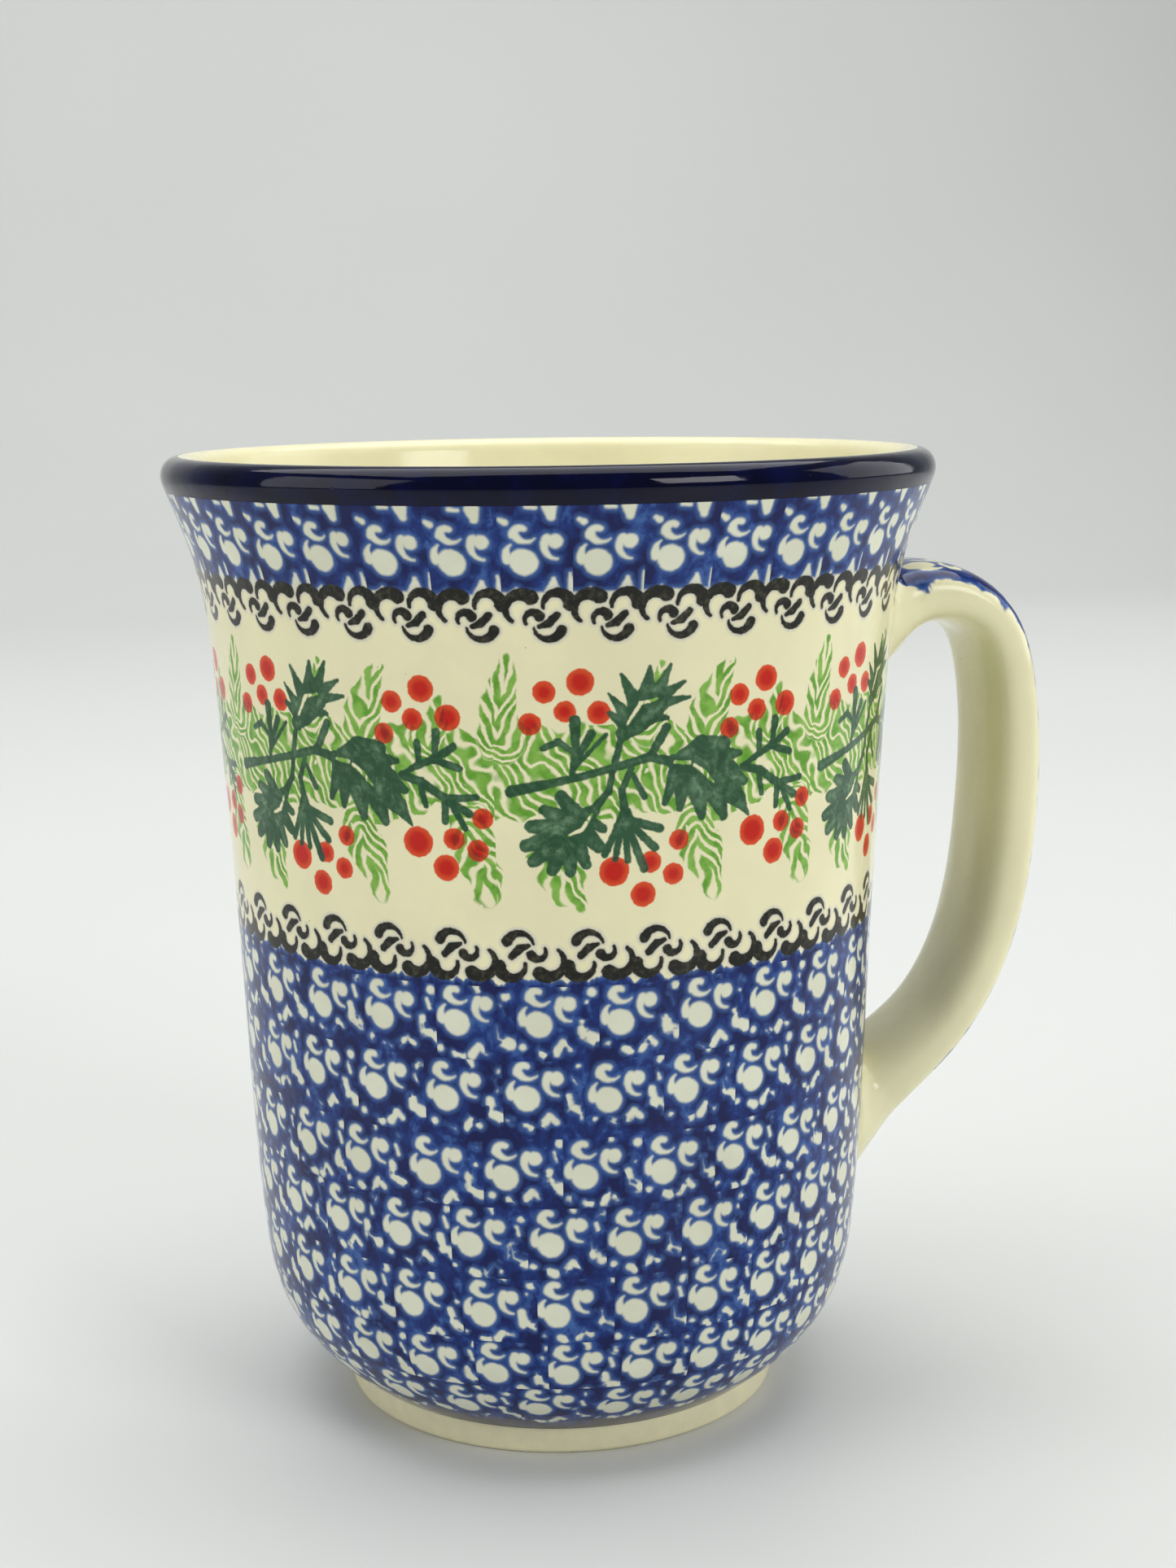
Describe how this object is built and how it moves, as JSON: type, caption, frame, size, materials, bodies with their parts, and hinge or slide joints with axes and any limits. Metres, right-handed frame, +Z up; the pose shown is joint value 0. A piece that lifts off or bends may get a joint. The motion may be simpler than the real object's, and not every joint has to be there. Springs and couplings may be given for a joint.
{
  "type": "stoneware mug",
  "caption": "Straight-sided stoneware drinking mug with a flared lip, a low foot ring and an ear-shaped strap handle, stamped folk decoration under clear glaze.",
  "frame": {"origin": "centre of the foot ring, on the plane the mug stands on", "axes": "+Z up along the cup's own axis and out of the mouth, +X from that axis towards the handle, +Y completes a right-handed frame"},
  "size_m": [0.1068, 0.091, 0.115],
  "materials": {
    "bare_stoneware": "fired clay with a thin wiped glaze, satin",
    "decorated_glaze": "glossy clear glaze over stamped cobalt, green, red and black",
    "cobalt_rim": "thick glossy cobalt glaze",
    "cream_glaze": "glossy clear glaze over cream stoneware",
    "handle_glaze": "glossy clear glaze over cream stoneware, stamped blue on its outer face"
  },
  "bodies": {
    "root": {"cup_body": "bare_stoneware", "outer_glaze": "decorated_glaze", "rim_glaze_band": "cobalt_rim", "inner_glaze": "cream_glaze", "handle": "handle_glaze", "upper_slip_joint": "handle_glaze", "lower_slip_joint": "handle_glaze"}
  },
  "joints": []
}
